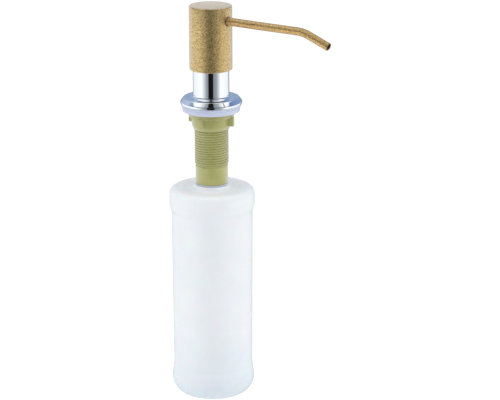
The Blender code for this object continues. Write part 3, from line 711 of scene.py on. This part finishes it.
# %% Wing nut
nut_outline = outline_of("wing_nut")
nut_low, nut_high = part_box("wing_nut")
nut_bore = nut_outline[:, 0].min()
nut_flange_radius = nut_outline[:, 0].max()
NUT_BODY_RADIUS = 15.8 * MM
NUT_END_RADIUS = 14.5 * MM
NUT_TAPER = 3.4 * MM
NUT_FLANGE_THICKNESS = 3.9 * MM
nut_flange_low = nut_high.z - NUT_FLANGE_THICKNESS
print("nut bore", nut_bore, "flange", nut_flange_radius, nut_flange_low)
nut = turned(
    "nut",
    [
        (nut_bore, nut_low.z, 0.15 * MM),
        (NUT_END_RADIUS, nut_low.z, 0.15 * MM),
        (NUT_BODY_RADIUS, nut_low.z + NUT_TAPER, 0.9 * MM),
        (NUT_BODY_RADIUS, nut_flange_low, 0.4 * MM),
        (nut_flange_radius, nut_flange_low, 0.6 * MM),
        (nut_flange_radius, nut_high.z, 0.5 * MM),
        (nut_bore, nut_high.z),
    ],
    segments=128,
)
WING_FIRST_ANGLE = math.radians(8)
WING_COUNT = 4
WING_THICKNESS = 2.6 * MM
WING_HEIGHT = 6.8 * MM
WING_TIP = 20.2 * MM


def wing_block(name, low, high, inner, tip, angle):
    """Rows are slices across the thickness and columns run round a rounded rectangle.

    The first and last rows shrink to the middle of a face, and the next ones are 0.25 mm small.
    """
    half = WING_THICKNESS / 2
    edge = 0.25 * MM
    rows = []
    for across, inset in ((-half, edge), (edge - half, 0), (half - edge, 0), (half, edge)):
        corners = [
            (inner, low + inset, 0.5 * MM),
            (tip - inset, low + inset, 0.5 * MM),
            (tip - inset, high - inset, 0.5 * MM),
            (inner, high - inset, 0.5 * MM),
        ]
        outline = rounded(corners, 4)
        rows.append(np.column_stack([outline[:, 0], np.full(len(outline), across), outline[:, 1]]))
    rows.insert(0, np.tile(rows[0].mean(axis=0), (len(rows[0]), 1)))
    rows.append(np.tile(rows[-1].mean(axis=0), (len(rows[-1]), 1)))
    x, y, z = np.moveaxis(np.array(rows), -1, 0)
    swung = [x * math.cos(angle) - y * math.sin(angle), x * math.sin(angle) + y * math.cos(angle), z]
    return surface(name, np.stack(swung, axis=-1))


wing_low, wing_high = nut_flange_low - WING_HEIGHT, nut_flange_low + 1.0 * MM
for number in range(WING_COUNT):
    angle = WING_FIRST_ANGLE + math.tau * number / WING_COUNT
    wing = wing_block(f"wing_{number}", wing_low, wing_high, nut_bore + 0.5 * MM, WING_TIP, angle)
    boolean(nut, wing, "UNION")
dress(nut, nut_plastic, "nut", "wing_nut")

# %% [markdown]
# ## The threaded shank
#
# A screw thread is a height field on a cylinder: the radius depends only on how far the height is
# ahead of the helix, counted in pitches. So the whole thread is one grid whose rows climb one pitch a
# turn, and whose last column meets its first column one turn on. Rows past the ends of the thread
# gather on its end rings, and the ridge fades out there, as a moulded thread does.

# %% Shank
shank_outline = outline_of("threaded_shank")
shank_low, shank_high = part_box("threaded_shank")
THREAD_PITCH = 2.0 * MM
THREAD_DEPTH = 1.25 * MM
THREAD_START = 0.8 * MM
thread_crest = shank_outline[:, 0].max()
on_thread = shank_outline[shank_outline[:, 0] > thread_crest - 0.3 * MM]
thread_low = float(on_thread[:, 1].min()) - THREAD_PITCH / 2
thread_high = -THREAD_START
plain_radius = float(shank_outline[shank_outline[:, 1] < shank_low.z + 1 * MM][:, 0].max())
top_radius = float(shank_outline[shank_outline[:, 1] > shank_high.z - 1 * MM][:, 0].max())
socket_bore = float(shank_outline[shank_outline[:, 1] < shank_low.z + 1 * MM][:, 0].min())
shank_bore = shank_outline[:, 0].min()
socket_top = float(shank_outline[np.isclose(shank_outline[:, 0], socket_bore, atol=1e-5)][:, 1].max())
print("thread", thread_crest, thread_low, "plain", plain_radius, "bores", socket_bore, shank_bore)


def thread_height(phase):
    """A flat-topped ridge: 1 on the crest, 0 in the groove, with steep flanks between them."""
    wave = 0.5 - 0.5 * np.cos(math.tau * phase)
    return np.clip(2.1 * wave - 0.45, 0, 1)


def shank_grid(columns=120, rows_per_pitch=14):
    """The thread, then the bores. With n rows to a pitch, row i at angle a has
    height = top + pitch (a / 2 pi - i / n) and radius = root + depth thread_height(i / n).
    """
    angle = np.linspace(0, math.tau, columns + 1)
    rows = math.ceil((thread_high - thread_low) / THREAD_PITCH + 2) * rows_per_pitch
    row = np.arange(rows + 1)[:, None]
    height = thread_high + THREAD_PITCH * (angle / math.tau - row / rows_per_pitch)
    fade = np.clip((height - thread_low) / (1.2 * THREAD_PITCH), 0, 1)
    fade = fade * np.clip((thread_high - height) / THREAD_PITCH, 0, 1)
    ridge = thread_height(row / rows_per_pitch + 0 * angle) * fade
    root = thread_crest - THREAD_DEPTH
    radius = root + THREAD_DEPTH * ridge
    height = np.clip(height, thread_low, thread_high)
    rim = rounded(
        [
            (plain_radius, thread_low - 0.2 * MM, 0.1 * MM),
            (plain_radius, shank_low.z, 0.3 * MM),
            (socket_bore, shank_low.z, 0.2 * MM),
            (socket_bore, socket_top, 0.2 * MM),
            (shank_bore, socket_top, 0.2 * MM),
            (shank_bore, shank_high.z, 0.2 * MM),
            (top_radius, shank_high.z, 0.4 * MM),
            (top_radius, thread_high),
        ],
        steps=3,
    )
    radius = np.vstack([radius, np.repeat(rim[:, :1], columns + 1, axis=1)])
    height = np.vstack([height, np.repeat(rim[:, 1:], columns + 1, axis=1)])
    return np.stack([radius * np.cos(angle), radius * np.sin(angle), height], axis=-1)


shank = surface("shank", shank_grid(), wrap_rows=True, wrap_columns=False, sharp=60)
dress(shank, shank_plastic, "mount", "threaded_shank")

# %% [markdown]
# ## The bottle
#
# A blown bottle is a shell of one wall thickness, so the inside follows the outside. Two shallow bands
# stiffen it: the shoulder band at the top and the foot band below. One function gives the corners of
# the side with their roundings, moved in by any wall, and both skins use it. The foot is a quarter arc.

# %% Bottle
bottle_outline = outline_of("bottle")
BOTTLE_WALL = 1.2 * MM
BEAD_RADIUS = 14.95 * MM
BEAD_HEIGHT = 2.3 * MM
SHOULDER_ROUND = 5.8 * MM
SHOULDER_DEPTH = 15.2 * MM
STEP_DEPTH = 19.7 * MM
BODY_TOP_RADIUS = 32.9 * MM
BODY_LOW_RADIUS = 32.2 * MM
BODY_LOW_HEIGHT = 25.5 * MM
FOOT_RADIUS = 33.7 * MM
FOOT_HEIGHT = 15.5 * MM
FOOT_ROUND = 14.0 * MM
TOP_GROOVE = 18.4 * MM, 22.9 * MM
GROOVE_SLOPE = 0.3 * MM
TOP_GROOVE_DEPTH = 0.25 * MM
FOOT_RING = 17 * MM
PUSH_UP_RADIUS = 16 * MM
PUSH_UP = 0.5 * MM
BASE_FLAT = 14 * MM
neck = bottle_outline[bottle_outline[:, 1] > bottle_high.z - 1 * MM]
neck_bore, neck_radius = neck[:, 0].min(), neck[:, 0].max()
shoulder_radius = bottle_outline[:, 0].max()
bead_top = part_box("bottle_seal")[0].z - 0.3 * MM
shoulder_level = bead_top - BEAD_HEIGHT
base_level = bottle_low.z


def arc_points(centre, radius, start, end, steps=24):
    """Points of an arc from one angle to another, in degrees, as plain corners with no rounding."""
    angle = np.radians(np.linspace(start, end, steps))
    x, z = centre[0] + radius * np.cos(angle), centre[1] + radius * np.sin(angle)
    return list(zip(x.tolist(), z.tolist()))


def bottle_side(wall):
    """The side from the shoulder's edge down to the flat base, moved in by wall."""
    foot_centre = (FOOT_RADIUS - FOOT_ROUND, base_level + FOOT_ROUND)
    return [
        (shoulder_radius - wall, shoulder_level - wall, SHOULDER_ROUND - wall),
        (shoulder_radius - wall, shoulder_level - SHOULDER_DEPTH, 5.0 * MM),
        (BODY_TOP_RADIUS - wall, shoulder_level - STEP_DEPTH, 2.0 * MM),
        (BODY_LOW_RADIUS - wall, base_level + BODY_LOW_HEIGHT, 9.0 * MM),
        (FOOT_RADIUS - wall, base_level + FOOT_HEIGHT, 3.0 * MM),
        *arc_points(foot_centre, FOOT_ROUND - wall, 0, -90),
    ]


outer_skin = rounded(
    [
        (neck_bore, bottle_high.z, 0.3 * MM),
        (neck_radius, bottle_high.z, 0.4 * MM),
        (neck_radius, bead_top, 0.3 * MM),
        (BEAD_RADIUS, bead_top, 0.7 * MM),
        (BEAD_RADIUS, shoulder_level, 0.4 * MM),
        (TOP_GROOVE[0], shoulder_level, 0.2 * MM),
        (TOP_GROOVE[0] + GROOVE_SLOPE, shoulder_level - TOP_GROOVE_DEPTH, 0.2 * MM),
        (TOP_GROOVE[1] - GROOVE_SLOPE, shoulder_level - TOP_GROOVE_DEPTH, 0.2 * MM),
        (TOP_GROOVE[1], shoulder_level, 0.2 * MM),
        *bottle_side(0),
        (FOOT_RING, base_level, 0.4 * MM),
        (PUSH_UP_RADIUS, base_level + PUSH_UP, 0.4 * MM),
        (0, base_level + PUSH_UP),
    ],
    10,
)
inner_floor = base_level + 1.5 * BOTTLE_WALL
inner_skin = rounded(
    [(0, inner_floor), (BASE_FLAT, inner_floor)]
    + bottle_side(BOTTLE_WALL)[::-1]
    + [(neck_bore, shoulder_level - BOTTLE_WALL, 0.5 * MM)],
    8,
)
bottle_grid = turn(np.vstack([inner_skin, outer_skin]), 160)
bottle = surface("bottle_shell", bottle_grid, sharp=60)
dress(bottle, bottle_plastic, "bottle", "bottle")

# %% [markdown]
# ## The pieces inside
#
# When the pump is lifted out for refilling, its barrel, cap, stem and tube come into view. Each is a
# turned piece whose exact outline is in the frame, so one loop turns them all again with many more
# facets and a small rounding on every corner.

# %% Pump pieces
TURNED_INSIDE = {
    "pump_cylinder": ("pump_unit", pump_plastic, "pump_plastic", 0.25),
    "cylinder_cap": ("pump_unit", pump_plastic, "pump_plastic", 0.30),
    "stem_wiper": ("pump_unit", black_rubber, "black_rubber", 0.15),
    "ball_cage": ("pump_unit", pump_plastic, "pump_plastic", 0.20),
    "dip_tube": ("pump_unit", tube_plastic, "tube_plastic", 0.15),
    "pump_gasket": ("pump_unit", black_rubber, "black_rubber", 0.30),
    "pump_stem": ("plunger", pump_plastic, "pump_plastic", 0.15),
    "piston": ("plunger", pump_plastic, "pump_plastic", 0.15),
    "bottle_seal": ("seal", gasket_plastic, "gasket_plastic", 0.20),
}
for node, (body, material, slot, corner) in TURNED_INSIDE.items():
    corners = [(radius, height, corner * MM) for radius, height in outline_of(node)]
    made = turned(node + "_fine", corners, segments=72, steps=3)
    dress(made, material, body, node)

# %% Core of the head: the CAD piece itself stays and gets its material
head_core = dress(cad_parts["head_core"], pump_plastic)
print(head_core.name, len(head_core.data.vertices), "points")

# %% [markdown]
# The spring is a round wire swept along a helix. When the pump is pressed, the plunger comes down onto it
# and it shortens, its foot staying and every ring moving down by its share. Here it is drawn at one length
# and rides with the pump unit.


# %% Spring
def helix_rings(low, high, coil, wire, turns, sides=12, steps_per_turn=48):
    """Rings along a helix. At angle a round Z the wire's circle is, for t from 0 to 2 pi,
    radius = coil + wire cos t and height = rise(a) + wire sin t.
    """
    share = np.linspace(0, 1, turns * steps_per_turn + 1)[:, None]
    angle = math.tau * turns * share
    t = np.linspace(0, math.tau, sides, endpoint=False)[None]
    radius = coil + wire * np.cos(t)
    height = low + wire + (high - low - 2 * wire) * share + wire * np.sin(t)
    return np.stack([radius * np.cos(angle), radius * np.sin(angle), height], axis=-1)


spring_low, spring_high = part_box("return_spring")
SPRING_WIRE = 0.5 * MM
SPRING_TURNS = 8
spring_coil = spring_high.x - SPRING_WIRE
rings = helix_rings(spring_low.z, spring_high.z, spring_coil, SPRING_WIRE, SPRING_TURNS)
ends = [np.repeat(rings[end].mean(axis=0)[None, None], rings.shape[1], axis=1) for end in (0, -1)]
spring = surface("spring_wire", np.concatenate([ends[0], rings, ends[1]]), sharp=60)
dress(spring, spring_steel, "pump_unit", "return_spring")
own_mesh(spring)

# %% Valve balls
for node, body in (("inlet_ball", "inlet_valve"), ("outlet_ball", "outlet_valve")):
    low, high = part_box(node)
    radius, middle = (high.z - low.z) / 2, (high.z + low.z) / 2
    t = np.linspace(-math.pi / 2, math.pi / 2, 33)
    arc = np.column_stack([radius * np.cos(t), middle + radius * np.sin(t)])
    ball = surface(node + "_fine", turn(arc, 48))
    dress(ball, ball_steel, body, node)

# %% [markdown]
# ## Studio
#
# A white floor runs to the horizon. Plain soft light comes from a white world and three large weak
# lamps. Only the camera sees the floor, so the light on the object doesn't depend on it. Chrome and
# the coated metal also need something to mirror, so a round screen stands about the object, and only
# reflections see it: it is white, with a dark gap in front, as between two softboxes.

# %% Camera
VIEW_AZIMUTH = math.radians(35.0)
VIEW_ELEVATION = math.radians(16.5)
VIEW_DISTANCE = 1.8
VIEW_HEIGHT = -0.0789
VIEW_SIDE = 0.0307
VIEW_ROLL = math.radians(-0.195)
LENS = 160.1

back = np.array(
    [
        math.sin(VIEW_AZIMUTH) * math.cos(VIEW_ELEVATION),
        -math.cos(VIEW_AZIMUTH) * math.cos(VIEW_ELEVATION),
        math.sin(VIEW_ELEVATION),
    ]
)
right = np.array([math.cos(VIEW_AZIMUTH), math.sin(VIEW_AZIMUTH), 0])
up = np.cross(back, right)
tilted_right = right * math.cos(VIEW_ROLL) + up * math.sin(VIEW_ROLL)
tilted_up = up * math.cos(VIEW_ROLL) - right * math.sin(VIEW_ROLL)
target = np.array([0, 0, VIEW_HEIGHT]) + VIEW_SIDE * right
camera = bpy.data.objects.new("camera", bpy.data.cameras.new("camera"))
bpy.context.scene.collection.objects.link(camera)
camera.data.lens = LENS
camera.data.sensor_width = 36
matrix = np.eye(4)
matrix[:3, 0], matrix[:3, 1], matrix[:3, 2] = tilted_right, tilted_up, back
matrix[:3, 3] = target + back * VIEW_DISTANCE
camera.matrix_world = matrix.T.tolist()
camera.data.clip_end = 50
bpy.context.scene.camera = camera
print("camera at", camera.matrix_world.translation[:])

# %% Floor
FLOOR_LEVEL = base_level - 0.06
FLOOR_REACH = 8.0
side = np.linspace(-FLOOR_REACH, FLOOR_REACH, 3)
floor_grid = np.stack([*np.meshgrid(side, side), np.full((3, 3), FLOOR_LEVEL)], axis=-1)
floor = surface("floor", floor_grid, wrap_columns=False)
floor_paint = new_material("floor_paint", 0.9, 0.0, (0.10, 0.10, 0.10))
floor_shader = floor_paint.node_tree.nodes["Principled BSDF"]
floor_shader.inputs["Emission Color"].default_value = (1, 1, 1, 1)
floor_shader.inputs["Emission Strength"].default_value = 1.0
floor_shader.inputs["Specular IOR Level"].default_value = 0.0
floor.data.materials.append(floor_paint)
floor.visible_glossy = False
floor.visible_diffuse = False
floor.visible_shadow = False
print("floor at", FLOOR_LEVEL)

# %% World and lamps
WORLD_COLOUR = (0.97, 0.98, 1.0, 1)
WORLD_STRENGTH = 0.92
world = bpy.data.worlds.new("world")
bpy.context.scene.world = world
world.use_nodes = True
sky = world.node_tree.nodes["Background"].inputs
sky["Color"].default_value = WORLD_COLOUR
sky["Strength"].default_value = WORLD_STRENGTH


def softbox(name, azimuth, elevation, distance, size, watts):
    """An area lamp that faces the middle of the object, placed by angles from the view direction."""
    a, e = VIEW_AZIMUTH + azimuth, elevation
    way = np.array([math.sin(a) * math.cos(e), -math.cos(a) * math.cos(e), math.sin(e)])
    lamp = bpy.data.objects.new(name, bpy.data.lights.new(name, "AREA"))
    bpy.context.scene.collection.objects.link(lamp)
    lamp.data.shape = "RECTANGLE"
    lamp.data.size, lamp.data.size_y = size
    lamp.data.energy = watts
    side = np.cross([0, 0, 1], way)
    side /= np.linalg.norm(side)
    frame_of_lamp = np.eye(4)
    frame_of_lamp[:3, 0], frame_of_lamp[:3, 1], frame_of_lamp[:3, 2] = side, np.cross(way, side), way
    frame_of_lamp[:3, 3] = way * distance + [0, 0, -0.05]
    lamp.matrix_world = frame_of_lamp.T.tolist()
    lamp.visible_glossy = False
    return lamp


softbox("left_lamp", math.radians(-80), math.radians(20), 1.2, (0.7, 1.2), 1.6)
softbox("right_lamp", math.radians(80), math.radians(20), 1.2, (0.7, 1.2), 1.6)
softbox("top_lamp", math.radians(0), math.radians(75), 1.3, (1.0, 1.0), 1.2)

# %% [markdown]
# The screen is a tall drum with a lid. Its light has three bands by height: a white one with a black
# gap round the eye level, a blue-grey one above it, and a lid as white as the first, gap and all. The
# upright chrome mirrors the first band, the flange's top and shoulder mirror the second, and their
# roundings sweep through all.

# %% Reflection screen
SCREEN_RADIUS = 0.9
SCREEN_TOP = 0.95
SCREEN_BOTTOM = -1.2
screen_angle = np.linspace(-math.pi, math.pi, 145)
profile = [(SCREEN_RADIUS, SCREEN_BOTTOM), (SCREEN_RADIUS, SCREEN_TOP), (1e-4, SCREEN_TOP)]
reach, level = np.array(profile)[:, :1], np.array(profile)[:, 1:]
facing = VIEW_AZIMUTH - math.pi / 2
toward = facing + screen_angle
screen_grid = np.stack([reach * np.cos(toward), reach * np.sin(toward), level + 0 * toward], axis=-1)
screen = surface("screen", screen_grid, wrap_columns=False)
screen.visible_camera = False
screen.visible_diffuse = False
screen.visible_shadow = False
screen.visible_transmission = False

# The colour of each band at each angle from the view direction, in degrees, left negative
EYE_BAND = [
    (-180, (0.42, 0.44, 0.45)),
    (-150, (0.37, 0.39, 0.40)),
    (-140, (0.95, 0.98, 1.00)),
    (-62, (1.14, 1.16, 1.18)),
    (-42, (0.72, 0.76, 0.78)),
    (-30, (0.40, 0.43, 0.46)),
    (-17, (0.28, 0.29, 0.30)),
    (-15, (0.01, 0.01, 0.01)),
    (13, (0.01, 0.01, 0.01)),
    (15, (0.26, 0.27, 0.28)),
    (34, (0.36, 0.39, 0.42)),
    (46, (0.62, 0.66, 0.70)),
    (62, (1.16, 1.17, 1.18)),
    (138, (0.95, 0.98, 1.00)),
    (146, (0.23, 0.24, 0.25)),
    (180, (0.42, 0.44, 0.45)),
]
UPPER_BAND = [
    (-180, (0.32, 0.42, 0.60)),
    (-110, (0.52, 0.62, 0.78)),
    (-80, (0.12, 0.16, 0.26)),
    (-20, (0.05, 0.07, 0.12)),
    (20, (0.04, 0.06, 0.12)),
    (80, (0.10, 0.15, 0.28)),
    (110, (0.20, 0.32, 0.58)),
    (180, (0.32, 0.42, 0.60)),
]
UPPER_FADE = 0.04, 0.12
LID_FADE = 0.80, 0.90
paper = bpy.data.materials.new("screen_paper")
paper.use_nodes = True
paper.node_tree.nodes.clear()
front = add_node(paper, "ShaderNodeVectorRotate", {"Vector": place(paper), "Angle": -facing})
spot = add_node(paper, "ShaderNodeSeparateXYZ", {"Vector": front.outputs[0]})
angle = add_node(paper, "ShaderNodeMath", operation="ARCTAN2")
paper.node_tree.links.new(spot.outputs[1], angle.inputs[0])
paper.node_tree.links.new(spot.outputs[0], angle.inputs[1])
sockets = {"Value": angle.outputs[0], "From Min": -math.pi, "From Max": math.pi}
share = add_node(paper, "ShaderNodeMapRange", sockets).outputs[0]
eye_light = ramp(paper, share, [((degrees + 180) / 360, colour) for degrees, colour in EYE_BAND])
upper_light = ramp(paper, share, [((degrees + 180) / 360, colour) for degrees, colour in UPPER_BAND])
light = eye_light
for (low, high), band in ((UPPER_FADE, upper_light), (LID_FADE, eye_light)):
    sockets = {"Value": spot.outputs[2], "From Min": low, "From Max": high}
    above = add_node(paper, "ShaderNodeMapRange", sockets).outputs[0]
    light = mix(paper, above, light, band)
glow = add_node(paper, "ShaderNodeEmission", {"Color": light, "Strength": 1.0})
add_node(paper, "ShaderNodeOutputMaterial", {"Surface": glow.outputs[0]})
screen.data.materials.append(paper)
print("screen material has", len(paper.node_tree.nodes), "nodes")

# %% View transform
bpy.context.scene.view_settings.view_transform = "Standard"
print("view transform", bpy.context.scene.view_settings.view_transform)
